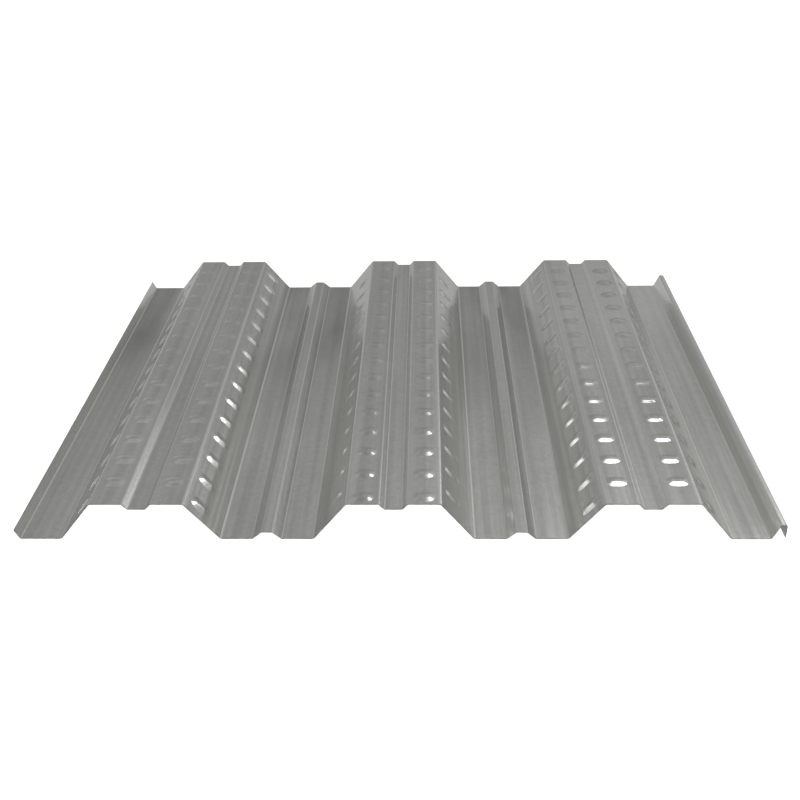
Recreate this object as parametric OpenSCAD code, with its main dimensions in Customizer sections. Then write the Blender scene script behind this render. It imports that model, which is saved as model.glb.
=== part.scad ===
// Composite floor decking sheet, cold-formed from one strip of galvanised steel.
// Trapezoid ribs run along Y with a stiffening groove in each rib and a stiffening bead in each valley.
// Rows of pressed embossments grip the concrete; a lip and a hook join neighbouring sheets.
// Millimetres, X across the ribs, Z up, resting on Z = 0.

/* [Sheet] */
// Length along the ribs
sheet_length = 750; // [400:10:3000]
// Steel thickness
sheet_t = 1; // [0.8:0.1:1.2]
// Depth from the underside of the valleys to the rib tops
deck_depth = 51; // [46:1:60]

/* [Ribs] */
// Number of ribs
rib_count = 3; // [2:1:4]
// Spacing of the ribs
rib_pitch = 305; // [295:1:330]
// Width of a rib's top, fold to fold
top_flange = 112; // [104:1:122]
// Sideways run of a sloping web
web_run = 40.5; // [34:0.5:46]
// Inside radius of the main folds
fold_r = 4; // [2:0.5:6]

/* [Stiffeners] */
// Width of the rib groove at its mouth
groove_mouth = 34; // [30:1:38]
// Width of the rib groove at its floor
groove_floor = 21; // [14:1:22]
// Depth of the rib groove
groove_depth = 7; // [4:0.5:9]
// Width of the valley bead at its base
bead_base = 35; // [30:1:40]
// Width of the valley bead at its crest
bead_crest = 13; // [8:1:16]
// Height of the valley bead
bead_height = 9.5; // [6:0.5:11]
// Inside radius of the stiffener and side lap bends
bend_r = 2; // [1:0.25:2.5]

/* [Side laps] */
// Flat from the outer web to the lip
lip_flange = 50; // [44:1:56]
// Height of the upturned lip
lip_height = 13; // [10:0.5:15]
// Outward lean of the lip
lip_lean = 6; // [3:0.5:7]
// Height of the hook that closes over the next sheet's lip
hook_height = 21; // [19:0.5:24]
// Outward lean of the hook's inner leg
hook_lean = 9; // [6:0.5:10]
// Width of the hook's top
hook_top = 7; // [6.5:0.5:9]
// Gap under the hook's outer leg, where the next sheet's flange lies
leg_lift = 3; // [2.5:0.5:6]
// Offset of the outer leg past the fold of the next sheet's lip
lap_clear = 1; // [0.5:0.5:3]

/* [Embossments] */
// Spacing along the ribs
emboss_pitch = 50; // [44:1:60]
// First embossment on the outer ribs' tops, from the near end
emboss_start = 47; // [20:1:60]
// How far the rows on every second rib lead the others
emboss_lead = 32; // [0:1:44]
// Length of an embossment on a rib top
top_boss_l = 28; // [25:1:29]
// Width of an embossment on a rib top, along the rib
top_boss_w = 22; // [16:1:24]
// Rise of an embossment on a rib top
top_boss_h = 2.25; // [1.5:0.25:4.5]
// Length of an embossment on a web, down the slope
web_boss_l = 30; // [25:1:32]
// Width of an embossment on a web, along the rib
web_boss_w = 20; // [16:1:24]
// Rise of an embossment on a web
web_boss_h = 2; // [1.5:0.25:4]
// Place of the web row, as a share of the slope below the rib top
web_boss_at = 0.36; // [0.32:0.01:0.6]
// Plain margin kept at the sheet's ends
end_margin = 4; // [2:0.5:10]

/* [Hidden] */
$fn = 72;

steel_colour = [0.62, 0.63, 0.62];
bend_steps = 6;

low_z = sheet_t / 2;
high_z = deck_depth - sheet_t / 2;
fold_axis_r = fold_r + sheet_t / 2;
bend_axis_r = bend_r + sheet_t / 2;
web_angle = atan2(high_z - low_z, web_run);
half_rib = top_flange / 2 + web_run;

// Places across the sheet, measured from the middle of the ribs
first_rib_x = -(rib_count - 1) / 2 * rib_pitch;
outer_foot_x = -first_rib_x + half_rib;
lip_fold_x = -outer_foot_x - lip_flange;
cover_width = rib_count * rib_pitch;
outer_leg_x = lip_fold_x + cover_width + lap_clear;
hook_fold_x = outer_leg_x - hook_top - hook_lean;

function rib_x(i) = first_rib_x + i * rib_pitch;

// Section corners along the middle of the sheet, each as [x, z, bend radius]
function lip_corners() = [
    [lip_fold_x - lip_lean, lip_height, 0],
    [lip_fold_x, low_z, bend_axis_r]
];

function rib_corners(x) = [
    [x - half_rib, low_z, fold_axis_r],
    [x - top_flange / 2, high_z, fold_axis_r],
    [x - groove_mouth / 2, high_z, bend_axis_r],
    [x - groove_floor / 2, high_z - groove_depth, bend_axis_r],
    [x + groove_floor / 2, high_z - groove_depth, bend_axis_r],
    [x + groove_mouth / 2, high_z, bend_axis_r],
    [x + top_flange / 2, high_z, fold_axis_r],
    [x + half_rib, low_z, fold_axis_r]
];

function bead_corners(x) = [
    [x - bead_base / 2, low_z, bend_axis_r],
    [x - bead_crest / 2, low_z + bead_height, bend_axis_r],
    [x + bead_crest / 2, low_z + bead_height, bend_axis_r],
    [x + bead_base / 2, low_z, bend_axis_r]
];

function hook_corners() = [
    [hook_fold_x, low_z, bend_axis_r],
    [hook_fold_x + hook_lean, hook_height - sheet_t / 2, bend_axis_r],
    [outer_leg_x, hook_height - sheet_t / 2, bend_axis_r],
    [outer_leg_x, leg_lift, 0]
];

corners = concat(
    lip_corners(),
    [for (i = [0:rib_count - 1]) each concat(
        rib_corners(rib_x(i)),
        i < rib_count - 1 ? bead_corners(rib_x(i) + rib_pitch / 2) : []
    )],
    hook_corners()
);

function unit(a) = [cos(a), sin(a)];

function flat(p) = [p[0], p[1]];

function heading(p, q) = atan2(q[1] - p[1], q[0] - p[0]);

function turn(a) = a > 180 ? a - 360 : a < -180 ? a + 360 : a;

// One face of the sheet round a corner, side +1 or -1 of the middle line
function bend_face(p, v, q, side) =
    let (a = heading(p, v))
    let (bend = turn(heading(v, q) - a))
    let (way = sign(bend))
    let (start = flat(v) - unit(a) * v[2] * tan(abs(bend) / 2))
    let (centre = start + way * v[2] * unit(a + 90))
    [for (k = [0:bend_steps])
        centre + (side * sheet_t / 2 - way * v[2]) * unit(a + 90 + bend * k / bend_steps)];

function end_point(p, a, side) = flat(p) + side * sheet_t / 2 * unit(a + 90);

function sheet_face(side) =
    let (last = len(corners) - 1)
    concat(
        [end_point(corners[0], heading(corners[0], corners[1]), side)],
        [for (i = [1:last - 1]) each bend_face(corners[i - 1], corners[i], corners[i + 1], side)],
        [end_point(corners[last], heading(corners[last - 1], corners[last]), side)]
    );

function backwards(list) = [for (i = [len(list) - 1:-1:0]) list[i]];

outline = concat(sheet_face(1), backwards(sheet_face(-1)));
outline_x = [for (p = outline) p[0]];
middle_x = (min(outline_x) + max(outline_x)) / 2;

// Embossment rows, as places along the rib from the sheet's middle
function row(first, boss_w) =
    let (lead = (first % emboss_pitch + emboss_pitch) % emboss_pitch)
    let (clear = boss_w / 2 + end_margin)
    [for (k = [0:floor(sheet_length / emboss_pitch)])
        let (y = lead + k * emboss_pitch)
        if (y >= clear && y <= sheet_length - clear) y - sheet_length / 2];

function rib_start(i) = emboss_start - (i % 2) * emboss_lead;

top_boss_x = (top_flange + groove_mouth) / 4;

function arc_r(chord, rise) = (chord * chord / 4 + rise * rise) / (2 * rise);

// Section rolled to shape, along Y
module rolled_strip() {
    rotate([90, 0, 0])
        linear_extrude(height = sheet_length, center = true)
            polygon(outline);
}

// Rounded bar with its base on Z = 0, long way on X; skin shrinks it to the hollow behind
module bar(l, w, h, skin, low) {
    r = arc_r(w, h) - skin;
    straight = l - w;
    intersection() {
        translate([0, 0, h - skin - r])
            rotate([0, 90, 0])
                rotate_extrude()
                    intersection() {
                        union() {
                            translate([0, -straight / 2])
                                circle(r);
                            translate([0, straight / 2])
                                circle(r);
                            translate([-r, -straight / 2])
                                square([2 * r, straight]);
                        }
                        translate([0, -straight - r])
                            square([2 * r, 2 * (straight + r)]);
                    }
        translate([-l, -w, low])
            cube([2 * l, 2 * w, h - low + 1]);
    }
}

module top_row(i, side, skin, low) {
    for (y = row(rib_start(i), top_boss_w))
        translate([rib_x(i) + side * top_boss_x, y, deck_depth])
            bar(top_boss_l, top_boss_w, top_boss_h, skin, low);
}

module web_row(i, side, skin, low) {
    x = rib_x(i) + side * (top_flange / 2 + web_boss_at * web_run);
    z = high_z - web_boss_at * (high_z - low_z);
    for (y = row(rib_start(i) + emboss_pitch / 2, web_boss_w))
        translate([x, y, z])
            rotate([0, side * web_angle, 0])
                translate([0, 0, sheet_t / 2])
                    bar(web_boss_l, web_boss_w, web_boss_h, skin, low);
}

module embossments(skin, low) {
    for (i = [0:rib_count - 1], side = [-1, 1]) {
        top_row(i, side, skin, low);
        web_row(i, side, skin, low);
    }
}

module decking_sheet() {
    color(steel_colour)
        translate([-middle_x, 0, 0])
            difference() {
                union() {
                    rolled_strip();
                    embossments(0, -sheet_t / 2);
                }
                embossments(sheet_t, -1.5 * sheet_t);
            }
}

decking_sheet();
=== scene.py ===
import math
import bmesh
import bpy
from mathutils import Matrix, Vector


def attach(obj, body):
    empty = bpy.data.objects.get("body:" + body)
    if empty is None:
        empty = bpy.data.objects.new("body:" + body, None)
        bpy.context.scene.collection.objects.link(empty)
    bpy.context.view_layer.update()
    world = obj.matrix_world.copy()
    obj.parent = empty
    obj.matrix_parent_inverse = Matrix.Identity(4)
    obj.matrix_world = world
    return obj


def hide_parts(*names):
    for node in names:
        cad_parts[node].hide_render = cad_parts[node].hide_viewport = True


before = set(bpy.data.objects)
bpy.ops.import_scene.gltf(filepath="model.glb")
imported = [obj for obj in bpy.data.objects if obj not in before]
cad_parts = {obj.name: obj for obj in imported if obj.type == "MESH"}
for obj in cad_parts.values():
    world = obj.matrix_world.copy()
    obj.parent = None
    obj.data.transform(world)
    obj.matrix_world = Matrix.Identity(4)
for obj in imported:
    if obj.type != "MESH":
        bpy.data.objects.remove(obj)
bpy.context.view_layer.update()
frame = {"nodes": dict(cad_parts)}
print("frame loaded:", ", ".join(frame["nodes"]))

mm = 0.001
sameSpot = 1e-6  # metres, an edge this near a corner belongs to it
cutSlack = 1e-7  # metres, a cut this near a point passes through it

# the sheet as the rolls form it, millimetres; the highlight share is how much of a fold gets the painted
# highlight
sheet = {
    "length": 750, "steel": 1.0, "depth": 51,
    "ribs": 3, "pitch": 305, "ribTop": 112, "webRun": 40.5, "foldRadius": 4,
    "grooveMouth": 34, "grooveFloor": 21, "grooveDepth": 7,
    "beadBase": 35, "beadCrest": 13, "beadHeight": 9.5, "bendRadius": 2,
    "lipFlange": 50, "lipHeight": 13, "lipLean": 6,
    "hookHeight": 21, "hookLean": 9, "hookTop": 7, "legLift": 3, "lapClear": 1,
    "foldSteps": 6, "foldHighlightShare": 0.9,
}

# pressed embossments, millimetres; long is across the rib or down the web
emboss = {
    "spacing": 50, "start": 47, "lead": 32, "endMargin": 4,
    "top": {"long": 28, "wide": 22, "rise": 2.2},
    "web": {"long": 30, "wide": 20, "rise": 1.95, "share": 0.36},
    "rimFlat": 0.5, "rimCuts": 3, "rings": (0.8, 2.6, 5.0, 7.8), "crown": 1.3,
}

lowZ = sheet["steel"] / 2
highZ = sheet["depth"] - sheet["steel"] / 2
webAngle = math.atan2(highZ - lowZ, sheet["webRun"])
ribXs = [(i - (sheet["ribs"] - 1) / 2) * sheet["pitch"] for i in range(sheet["ribs"])]


def sectionCorners():  # middle line of the sheet from lip to hook, each corner as x, z, bend radius
    foldR = sheet["foldRadius"] + sheet["steel"] / 2
    bendR = sheet["bendRadius"] + sheet["steel"] / 2
    halfTop = sheet["ribTop"] / 2
    halfRib = halfTop + sheet["webRun"]
    lipX = ribXs[0] - halfRib - sheet["lipFlange"]
    legX = lipX + sheet["ribs"] * sheet["pitch"] + sheet["lapClear"]
    hookX = legX - sheet["hookTop"] - sheet["hookLean"]
    hookZ = sheet["hookHeight"] - sheet["steel"] / 2
    grooveZ = highZ - sheet["grooveDepth"]
    line = [(lipX - sheet["lipLean"], sheet["lipHeight"], 0), (lipX, lowZ, bendR)]
    for i, x in enumerate(ribXs):
        for side in (-1, 1):  # the rib's two halves mirror each other
            half = [(halfRib, lowZ, foldR), (halfTop, highZ, foldR),
                    (sheet["grooveMouth"] / 2, highZ, bendR), (sheet["grooveFloor"] / 2, grooveZ, bendR)]
            line += [(x + side * dx, z, r) for dx, z, r in half[::-side]]
        if i < sheet["ribs"] - 1:
            mid = x + sheet["pitch"] / 2
            for dx, up in ((-sheet["beadBase"], 0), (-sheet["beadCrest"], sheet["beadHeight"]),
                           (sheet["beadCrest"], sheet["beadHeight"]), (sheet["beadBase"], 0)):
                line.append((mid + dx / 2, lowZ + up, bendR))
    line += [(hookX, lowZ, bendR), (hookX + sheet["hookLean"], hookZ, bendR),
             (legX, hookZ, bendR), (legX, sheet["legLift"], 0)]
    return line


def middleOfSheet(line):  # half way between the lip's edge and the hook's leg
    (x0, z0, _), (x1, z1, _) = line[:2]
    lipEdge = x0 - sheet["steel"] / 2 * math.sin(math.atan2(z0 - z1, x1 - x0))
    return (lipEdge + line[-1][0] + sheet["steel"] / 2) / 2


def rowPlaces(first, wide):  # embossments along one row, from the sheet's middle
    lead = first % emboss["spacing"]
    clear = wide / 2 + emboss["endMargin"]
    count = int(sheet["length"] // emboss["spacing"]) + 1
    places = [lead + k * emboss["spacing"] for k in range(count)]
    return [y - sheet["length"] / 2 for y in places if clear <= y <= sheet["length"] - clear]


def embossRows():  # every row: middle x and z, lean of its face, sizes and places
    rows = []
    for i, x in enumerate(ribXs):
        start = emboss["start"] - (i % 2) * emboss["lead"]
        for side in (-1, 1):
            top = emboss["top"]
            dx = (sheet["ribTop"] + sheet["grooveMouth"]) / 4
            rows.append({"x": x + side * dx, "z": highZ, "lean": 0, "size": top,
                         "ys": rowPlaces(start, top["wide"])})
            web = emboss["web"]
            dx = sheet["ribTop"] / 2 + web["share"] * sheet["webRun"]
            rows.append({"x": x + side * dx, "z": highZ - web["share"] * (highZ - lowZ),
                         "lean": side * webAngle, "size": web,
                         "ys": rowPlaces(start + emboss["spacing"] / 2, web["wide"])})
    return rows


corners = sectionCorners()
middleX = middleOfSheet(corners)
rows = embossRows()
print("section has", len(corners), "corners and", len(rows), "rows of embossments")


def rollSection(bm):  # a zigzag line drawn out along the ribs
    nearY = -sheet["length"] / 2 * mm
    points = [bm.verts.new(((x - middleX) * mm, nearY, z * mm)) for x, z, r in corners]
    line = [bm.edges.new(pair) for pair in zip(points, points[1:])]
    drawn = bmesh.ops.extrude_edge_only(bm, edges=line)["geom"]
    ends = [g for g in drawn if isinstance(g, bmesh.types.BMVert)]
    bmesh.ops.translate(bm, verts=ends, vec=(0, sheet["length"] * mm, 0))
    bmesh.ops.recalc_face_normals(bm, faces=bm.faces[:])
    if sum(f.normal.z for f in bm.faces) < 0:  # the rib tops have to face up
        bmesh.ops.reverse_faces(bm, faces=bm.faces[:])


def foldGroups():  # corners that share one bend length are rounded together
    groups = {}
    for (x0, z0, _), (x1, z1, r), (x2, z2, _) in zip(corners, corners[1:], corners[2:]):
        turn = abs(math.atan2(z2 - z1, x2 - x1) - math.atan2(z1 - z0, x1 - x0))
        reach = r * math.tan(min(turn, 2 * math.pi - turn) / 2)
        groups.setdefault(round(reach, 4), []).append((x1 - middleX, z1))
    return groups


def foldLines(bm, spots):  # the edges that run the sheet's whole length at these corners
    lines = []
    for x, z in spots:
        for e in bm.edges:
            a, b = (v.co for v in e.verts)
            runsAlong = abs(a.y - b.y) > sheet["length"] / 2 * mm
            if runsAlong and abs(a.x - x * mm) < sameSpot and abs(a.z - z * mm) < sameSpot:
                lines.append(e)
    return lines


def roundFolds(bm):
    for reach, spots in foldGroups().items():
        bmesh.ops.bevel(bm, geom=foldLines(bm, spots), offset=reach * mm, offset_type="OFFSET",
                        segments=sheet["foldSteps"], profile=0.5, affect="EDGES", material=-1,
                        clamp_overlap=False)


def rowSides(row):  # the row's two sides as seen from above
    x = row["x"] - middleX
    reach = row["size"]["long"] / 2 * math.cos(row["lean"])
    return x - reach, x + reach


def facesBetween(bm, x0, x1):
    return [f for f in bm.faces if x0 * mm < f.calc_center_median().x < x1 * mm]


def crosses(f, y):
    ys = [v.co.y for v in f.verts]
    return min(ys) < y * mm < max(ys)


def cutCells(bm):  # one plain face for each embossment, row by row
    for row in rows:
        for x in rowSides(row):
            everything = bm.verts[:] + bm.edges[:] + bm.faces[:]
            bmesh.ops.bisect_plane(bm, geom=everything, dist=cutSlack,
                                   plane_co=(x * mm, 0, 0), plane_no=(1, 0, 0))
    for row in rows:
        half = row["size"]["wide"] / 2
        for y in row["ys"]:
            for cut in (y - half, y + half):
                strip = [f for f in facesBetween(bm, *rowSides(row)) if crosses(f, cut)]
                edges = dict.fromkeys(e for f in strip for e in f.edges)  # each once, in order
                points = dict.fromkeys(v for f in strip for v in f.verts)
                bmesh.ops.bisect_plane(bm, geom=[*strip, *edges, *points], dist=cutSlack,
                                       plane_co=(0, cut * mm, 0), plane_no=(0, 1, 0))
        row["cells"] = [f for f in facesBetween(bm, *rowSides(row))
                        if min(abs(f.calc_center_median().y - y * mm) for y in row["ys"]) < mm]


def roundRims(row):  # square cells pulled in to the outline of a round ended bar
    size = row["size"]
    down = Vector((math.cos(row["lean"]), 0, -math.sin(row["lean"])))
    straight = (size["long"] - size["wide"]) / 2 * mm
    radius = (size["wide"] / 2 - emboss["rimFlat"]) * mm
    for f in row["cells"]:
        middle = f.calc_center_bounds()
        for v in f.verts:
            along = (v.co - middle).dot(down)
            spine = middle + down * min(max(along, -straight), straight)
            v.co = spine + (v.co - spine).normalized() * radius


def pressRow(bm, row):  # rings step inwards and up an even ramp that rounds off at the crown
    half = row["size"]["wide"] / 2 - emboss["rimFlat"]
    rise = row["size"]["rise"]
    inward, height = 0, 0
    for ring in emboss["rings"]:
        last = ring == emboss["rings"][-1]
        up = rise if last else rise * (1 - (1 - ring / half) ** emboss["crown"])
        bmesh.ops.inset_individual(bm, faces=row["cells"], thickness=(ring - inward) * mm,
                                   depth=(up - height) * mm, use_even_offset=True)
        inward, height = ring, up


def pressEmbossments(bm):
    cutCells(bm)
    cells = [f for row in rows for f in row["cells"]]
    bmesh.ops.inset_individual(bm, faces=cells, thickness=emboss["rimFlat"] * mm, use_even_offset=True)
    bmesh.ops.subdivide_edges(bm, edges=[e for f in cells for e in f.edges], cuts=emboss["rimCuts"])
    for row in rows:
        roundRims(row)
        pressRow(bm, row)
    return len(cells)


def markFolds(bm):  # 1 on the rounded folds and the side laps, where the steel's colour is lightened as a painted highlight
    layer = bm.verts.layers.float.new("paintedFoldHighlight")
    spots = [(x * mm, z * mm, reach * mm) for reach, group in foldGroups().items() for x, z in group]
    lipFold, hookFold = ((corners[k][0] - middleX) * mm for k in (1, -4))
    for v in bm.verts:
        near = min(math.hypot(v.co.x - x, v.co.z - z) / reach for x, z, reach in spots)
        lap = not lipFold < v.co.x < hookFold
        v[layer] = 1.0 if near < sheet["foldHighlightShare"] or lap else 0.0


def makeSheet():
    bm = bmesh.new()
    rollSection(bm)
    roundFolds(bm)
    print("section rolled:", len(bm.faces), "faces")
    pressed = pressEmbossments(bm)
    markFolds(bm)
    for f in bm.faces:
        f.smooth = True
    for e in bm.edges:
        e.smooth = not e.is_boundary  # the cut ends stay crisp
    mesh = bpy.data.meshes.new("deckSheet")
    bm.to_mesh(mesh)
    bm.free()
    piece = bpy.data.objects.new("deckSheet", mesh)
    bpy.context.scene.collection.objects.link(piece)
    thick = piece.modifiers.new("steel", "SOLIDIFY")
    thick.thickness = sheet["steel"] * mm
    thick.offset = 0
    thick.use_even_offset = True
    thick.use_quality_normals = True
    thick.material_offset_rim = 1  # sheared edge on the rim
    flat = piece.modifiers.new("flats", "WEIGHTED_NORMAL")
    flat.keep_sharp = True
    print("embossments pressed:", pressed, "on", len(mesh.polygons), "faces")
    return piece


# galvanised steel, dull where the zinc has greyed, its folds and side laps lightened as a painted
# highlight
steel = {
    "dull": (0.62, 0.622, 0.60), "colour": (0.85, 0.852, 0.83), "bright": (0.95, 0.95, 0.935),
    "streakTone": 0.8, "spangleTone": 0.12, "patchTone": 0.5, "toneRange": (0.45, 0.95), "foldTone": 0.6,
    "roughRange": (0.3, 0.7), "roughLow": 0.16, "roughHigh": 0.25,
    "edgeColour": (0.10, 0.10, 0.095), "edgeRough": 0.5,
    "buckles": (16, 5, 16), "streakBump": 0.006, "bumpStrength": 0.6, "bumpHeight": 0.0012,
}

# marks to a metre across, along and up the sheet
markScale = {"streaks": (110, 1.1, 110), "spangle": 210.0, "patches": (14, 3.5, 14), "detail": 3.0}

# painted shade: the valleys darken towards the far end; from and to, in metres up, along and across
valleyShade = {
    "colour": (0.30, 0.302, 0.29), "weight": 0.85, "patches": (0.30, 0.75),
    "up": (0.012, 0.002), "along": (-0.15, 0.20), "across": (0.40, 0.34),
}


def nodeAt(tree, kind, x, y, **inputs):
    n = tree.nodes.new(kind)
    n.location = (x, y)
    for name, value in inputs.items():
        n.inputs[name].default_value = value
    return n


def steelMarks():  # rolling streaks, zinc spangle and patchy tone, shared by the faces and the cut edges
    group = bpy.data.node_groups.new("steelMarks", "ShaderNodeTree")
    face = group.interface
    face.new_socket("Vector", in_out="INPUT", socket_type="NodeSocketVector")
    for name in ("Streaks", "Spangle", "Patches"):
        face.new_socket(name, in_out="OUTPUT", socket_type="NodeSocketFloat")
    link = group.links.new
    start = nodeAt(group, "NodeGroupInput", -800, 0)
    end = nodeAt(group, "NodeGroupOutput", 400, 0)
    for y, name in ((200, "streaks"), (-400, "patches")):  # cloudy marks, drawn out along the ribs
        stretch = nodeAt(group, "ShaderNodeMapping", -600, y, Scale=markScale[name])
        cloud = nodeAt(group, "ShaderNodeTexNoise", -400, y, Scale=1.0, Detail=markScale["detail"])
        link(start.outputs["Vector"], stretch.inputs["Vector"])
        link(stretch.outputs["Vector"], cloud.inputs["Vector"])
        link(cloud.outputs["Fac"], end.inputs[name.capitalize()])
    spangle = nodeAt(group, "ShaderNodeTexVoronoi", -400, -100, Scale=markScale["spangle"])
    split = nodeAt(group, "ShaderNodeSeparateColor", -200, -100)
    link(start.outputs["Vector"], spangle.inputs["Vector"])
    link(spangle.outputs["Color"], split.inputs["Color"])
    link(split.outputs["Red"], end.inputs["Spangle"])
    return group


def mixColours(tree, x, y, factor, a, b):
    n = nodeAt(tree, "ShaderNodeMix", x, y)
    n.data_type = "RGBA"
    tree.links.new(factor, n.inputs[0])
    for socket, value in ((n.inputs[6], a), (n.inputs[7], b)):
        if isinstance(value, tuple):
            socket.default_value = (*value, 1)
        else:
            tree.links.new(value, socket)
    return n.outputs[2]


def addUp(tree, x, y, parts):  # weighted sum of marks
    total = None
    for k, (socket, weight) in enumerate(parts):
        n = nodeAt(tree, "ShaderNodeMath", x + 160 * k, y)
        n.operation = "MULTIPLY_ADD"
        tree.links.new(socket, n.inputs[0])
        n.inputs[1].default_value = weight
        n.inputs[2].default_value = 0
        if total is not None:
            tree.links.new(total, n.inputs[2])
        total = n.outputs[0]
    return total


def multiply(tree, x, y, sockets):
    total = sockets[0]
    for k, socket in enumerate(sockets[1:]):
        n = nodeAt(tree, "ShaderNodeMath", x + 160 * k, y)
        n.operation = "MULTIPLY"
        tree.links.new(total, n.inputs[0])
        tree.links.new(socket, n.inputs[1])
        total = n.outputs[0]
    return total


def mapRange(tree, x, y, socket, span, low=0, high=1):  # low where the span starts, high where it ends
    ends = {"From Min": span[0], "From Max": span[1], "To Min": low, "To Max": high}
    n = nodeAt(tree, "ShaderNodeMapRange", x, y, **ends)
    tree.links.new(socket, n.inputs["Value"])
    return n.outputs["Result"]


def newMaterial(name):
    m = bpy.data.materials.new(name)
    m.use_nodes = True
    return m, m.node_tree, m.node_tree.nodes["Principled BSDF"]


def placeMarks(tree, marks):  # the sheet's own coordinates and the marks on them
    place = nodeAt(tree, "ShaderNodeTexCoord", -1400, 0)
    seen = nodeAt(tree, "ShaderNodeGroup", -1200, 0)
    seen.node_tree = marks
    tree.links.new(place.outputs["Object"], seen.inputs["Vector"])
    return place.outputs["Object"], seen.outputs


def valleyShadeMask(tree, place, patches):  # painted shade in the valleys: low down, towards the far end and clear of the hook
    spot = nodeAt(tree, "ShaderNodeSeparateXYZ", -1200, 600)
    tree.links.new(place, spot.inputs[0])
    return multiply(tree, -700, 600, [
        mapRange(tree, -1000, 700, spot.outputs["Z"], valleyShade["up"]),
        mapRange(tree, -1000, 500, spot.outputs["Y"], valleyShade["along"]),
        mapRange(tree, -1000, 300, spot.outputs["X"], valleyShade["across"]),
        mapRange(tree, -1000, 900, patches, valleyShade["patches"], high=valleyShade["weight"])])


def steelFaces(marks):
    m, tree, skin = newMaterial("galvanisedSteel")
    place, seen = placeMarks(tree, marks)
    link = tree.links.new
    fold = nodeAt(tree, "ShaderNodeAttribute", -1200, -400)
    fold.attribute_name = "paintedFoldHighlight"
    tone = addUp(tree, -1000, 200, [(seen["Streaks"], steel["streakTone"]),
                                    (seen["Spangle"], steel["spangleTone"]),
                                    (seen["Patches"], steel["patchTone"])])
    grey = mapRange(tree, -500, 200, tone, steel["toneRange"])
    clean = mixColours(tree, -300, 200, grey, steel["dull"], steel["colour"])
    # painted shade: the valleys darken in patches towards the far end
    body = mixColours(tree, -200, 400, valleyShadeMask(tree, place, seen["Patches"]), clean, valleyShade["colour"])
    # painted highlight: the folds and side laps are lightened towards a pale colour
    foldHighlightMix = mapRange(tree, -500, -200, fold.outputs["Fac"], (0, 1), high=steel["foldTone"])
    link(mixColours(tree, -100, 200, foldHighlightMix, body, steel["bright"]), skin.inputs["Base Color"])
    rough = mapRange(tree, -300, -100, seen["Streaks"], steel["roughRange"],
                     low=steel["roughLow"], high=steel["roughHigh"])
    link(rough, skin.inputs["Roughness"])
    skin.inputs["Metallic"].default_value = 1.0
    buckle = nodeAt(tree, "ShaderNodeMapping", -1200, -700, Scale=steel["buckles"])
    swell = nodeAt(tree, "ShaderNodeTexNoise", -1000, -700, Scale=1.0, Detail=1.0)
    link(place, buckle.inputs["Vector"])
    link(buckle.outputs["Vector"], swell.inputs["Vector"])
    height = addUp(tree, -700, -500, [(swell.outputs["Fac"], 1.0), (seen["Streaks"], steel["streakBump"])])
    wave = nodeAt(tree, "ShaderNodeBump", -100, -500,
                  Strength=steel["bumpStrength"], Distance=steel["bumpHeight"])
    link(height, wave.inputs["Height"])
    link(wave.outputs["Normal"], skin.inputs["Normal"])
    return m


def steelEdges(marks):  # sheared ends, greyer and rougher
    m, tree, skin = newMaterial("shearedEdge")
    seen = placeMarks(tree, marks)[1]
    grey = mixColours(tree, -300, 0, seen["Spangle"], steel["edgeColour"], steel["dull"])
    tree.links.new(grey, skin.inputs["Base Color"])
    skin.inputs["Metallic"].default_value = 1.0
    skin.inputs["Roughness"].default_value = steel["edgeRough"]
    return m


deckSheet = makeSheet()
marks = steelMarks()
deckSheet.data.materials.append(steelFaces(marks))
deckSheet.data.materials.append(steelEdges(marks))
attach(deckSheet, "root")
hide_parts("decking_sheet")
print("sheet finished")

# pale floor lit a little from below, as on a light table, under a soft grey surround
studio = {
    "floorSize": 14.0, "floorColour": (0.85, 0.85, 0.85), "floorRough": 0.9,
    "floorGlow": 0.95, "floorBounce": 0.12,
    "greyByHeight": ((0.0, 0.23), (0.40, 0.305), (0.56, 0.375), (0.72, 0.345), (0.86, 0.31), (1.0, 0.29)),
    "greyToRight": 0.12, "darkest": 0.30, "brightest": 0.41, "backdrop": 1.2, "tint": (1, 1, 0.985),
    "frontByHeight": ((0.0, 0.15), (0.25, 0.24), (0.45, 0.44), (0.65, 0.52), (1.0, 0.36)),
    "frontStarts": (0.05, -0.35),
}


def makeFloor():
    bm = bmesh.new()
    bmesh.ops.create_grid(bm, x_segments=1, y_segments=1, size=studio["floorSize"] / 2)
    mesh = bpy.data.meshes.new("studioFloor")
    bm.to_mesh(mesh)
    bm.free()
    floor = bpy.data.objects.new("studioFloor", mesh)
    bpy.context.scene.collection.objects.link(floor)
    m, tree, skin = newMaterial("paleFloor")
    skin.inputs["Base Color"].default_value = (*studio["floorColour"], 1)
    skin.inputs["Roughness"].default_value = studio["floorRough"]
    skin.inputs["Emission Color"].default_value = (1, 1, 1, 1)
    # white in the picture, dimmer where the steel mirrors it
    path = nodeAt(tree, "ShaderNodeLightPath", -600, -200)
    glow = mapRange(tree, -300, -200, path.outputs["Is Camera Ray"], (0, 1),
                    low=studio["floorBounce"], high=studio["floorGlow"])
    tree.links.new(glow, skin.inputs["Emission Strength"])
    mesh.materials.append(m)


def greyRamp(tree, x, y, levels, height):
    n = nodeAt(tree, "ShaderNodeValToRGB", x, y)
    stops = n.color_ramp.elements
    for at, level in levels:
        stop = stops[0] if at == 0 else stops[-1] if at == 1 else stops.new(at)
        stop.color = (level, level, level, 1)
    tree.links.new(height, n.inputs["Fac"])
    return n.outputs["Color"]


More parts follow.
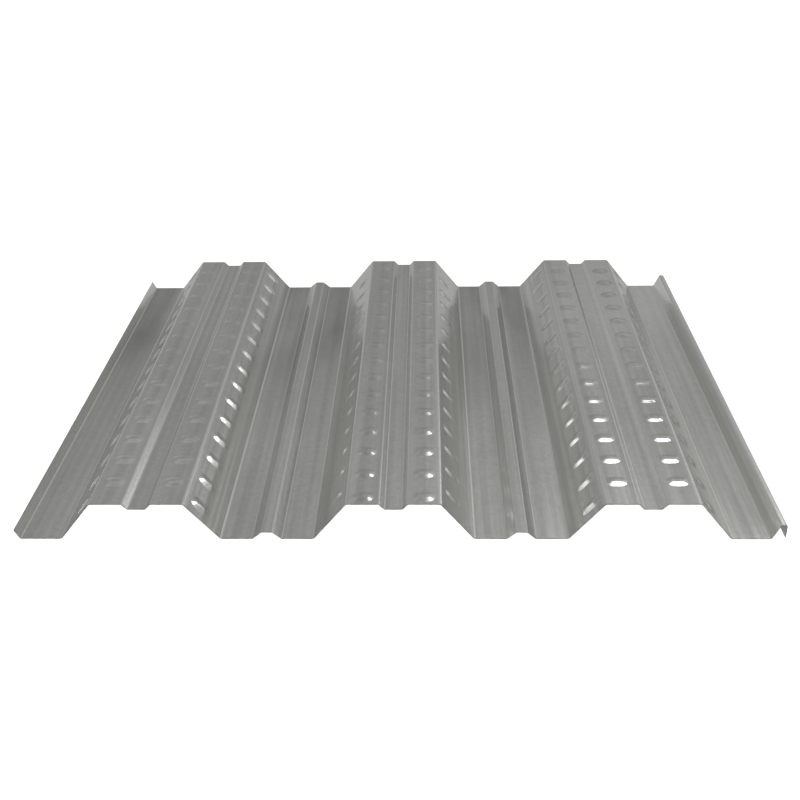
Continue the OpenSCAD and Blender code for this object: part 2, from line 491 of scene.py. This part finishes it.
def makeSurround():  # lightest part way up, lighter to the right, with more contrast in front
    world = bpy.data.worlds.new("studio")
    world.use_nodes = True
    tree = world.node_tree
    link = tree.links.new
    back = tree.nodes["Background"]
    look = nodeAt(tree, "ShaderNodeTexCoord", -1000, 0)
    split = nodeAt(tree, "ShaderNodeSeparateXYZ", -800, 0)
    link(look.outputs["Object"], split.inputs[0])
    grey = greyRamp(tree, -600, 150, studio["greyByHeight"], split.outputs["Z"])
    front = greyRamp(tree, -600, 450, studio["frontByHeight"], split.outputs["Z"])
    facing = mapRange(tree, -600, -150, split.outputs["Y"], studio["frontStarts"])
    right = nodeAt(tree, "ShaderNodeMath", -300, 0)
    right.operation = "MULTIPLY_ADD"
    right.inputs[1].default_value = studio["greyToRight"]
    link(split.outputs["X"], right.inputs[0])
    link(grey, right.inputs[2])
    held = nodeAt(tree, "ShaderNodeClamp", -150, 0, Min=studio["darkest"], Max=studio["brightest"])
    link(right.outputs[0], held.inputs["Value"])
    both = mixColours(tree, -50, 200, facing, held.outputs[0], front)
    # plain white where the picture looks past the floor
    path = nodeAt(tree, "ShaderNodeLightPath", -350, -250)
    level = mapRange(tree, 0, 0, path.outputs["Is Camera Ray"], (0, 1), high=studio["backdrop"])
    link(both, level.node.inputs["To Min"])
    link(level, back.inputs["Strength"])
    back.inputs["Color"].default_value = (*studio["tint"], 1)
    bpy.context.scene.world = world


# soft boxes: place, what they face, size across and along, power and how wide the grid lets them spread
softBoxes = {
    "overhead": {"at": (0.71, 0.25, 1.15), "to": (0.43, -0.56, 0.05),
                 "size": (1.1, 0.36), "power": 0.18, "spread": 34},
    "overRight": {"at": (1.06, 0.52, 1.12), "to": (0.32, -0.46, 0.05),
                  "size": (0.5, 0.36), "power": 0.075, "spread": 30},
    "overLeft": {"at": (-0.60, 0.43, 1.10), "to": (-0.28, -0.33, 0.05),
                 "size": (0.7, 0.35), "power": 0.011, "spread": 60},
    "rightSide": {"at": (1.16, 0.85, 0.85), "to": (-0.24, -0.33, 0.035),
                  "size": (0.3, 0.35), "power": 0.055, "spread": 24},
    "leftSide": {"at": (-1.37, 0.82, 0.50), "to": (0.235, -0.33, 0.035),
                 "size": (0.4, 0.3), "power": 0.006, "spread": 17},
    "rearRight": {"at": (2.0, 2.0, 0.85), "to": (0.15, 0.0, 0.02),
                  "size": (1.6, 0.7), "power": 0.15, "spread": 70},
    "front": {"at": (0.9, -1.9, 1.6), "to": (0.0, 0.0, 0.05),
              "size": (1.2, 0.8), "power": 1.8, "spread": 120},
    "farRight": {"at": (0.87, 3.0, 1.22), "to": (0.32, 0.28, 0.04),
                 "size": (0.5, 0.45), "power": 0.038, "spread": 120},
    "rearLeft": {"at": (-1.1, 2.5, 0.48), "to": (0.44, 0.0, 0.01),
                 "size": (1.4, 0.5), "power": 0.04, "spread": 60},
}


def makeLights():
    for name, box in softBoxes.items():
        lamp = bpy.data.lights.new(name, "AREA")
        lamp.shape = "RECTANGLE"
        lamp.size, lamp.size_y = box["size"]
        lamp.energy = box["power"]
        lamp.spread = math.radians(box["spread"])
        held = bpy.data.objects.new(name, lamp)
        held.location = box["at"]
        aim = Vector(box["to"]) - Vector(box["at"])
        held.rotation_euler = aim.to_track_quat("-Z", "Y").to_euler()
        held.visible_camera = False
        bpy.context.scene.collection.objects.link(held)


# camera fitted to the two end sections: metres, degrees, and the focal length in the picture's pixels
shot = {
    "at": (0.03597, -1.39736, 0.77334), "down": 29.627, "left": 1.646, "tilt": -0.962,
    "focal": 1061.36, "frame": 800, "sensor": 36,
}


def makeCamera():
    lens = bpy.data.cameras.new("shot")
    lens.sensor_width = shot["sensor"]
    lens.lens = shot["focal"] / shot["frame"] * shot["sensor"]
    held = bpy.data.objects.new("shot", lens)
    turn = (Matrix.Rotation(math.radians(shot["left"]), 4, "Z")
            @ Matrix.Rotation(math.radians(90 - shot["down"]), 4, "X")
            @ Matrix.Rotation(math.radians(shot["tilt"]), 4, "Z"))
    held.matrix_world = Matrix.Translation(shot["at"]) @ turn
    bpy.context.scene.collection.objects.link(held)
    bpy.context.scene.camera = held


makeFloor()
makeSurround()
makeLights()
makeCamera()
bpy.context.scene.view_settings.view_transform = "Standard"
print("studio ready")
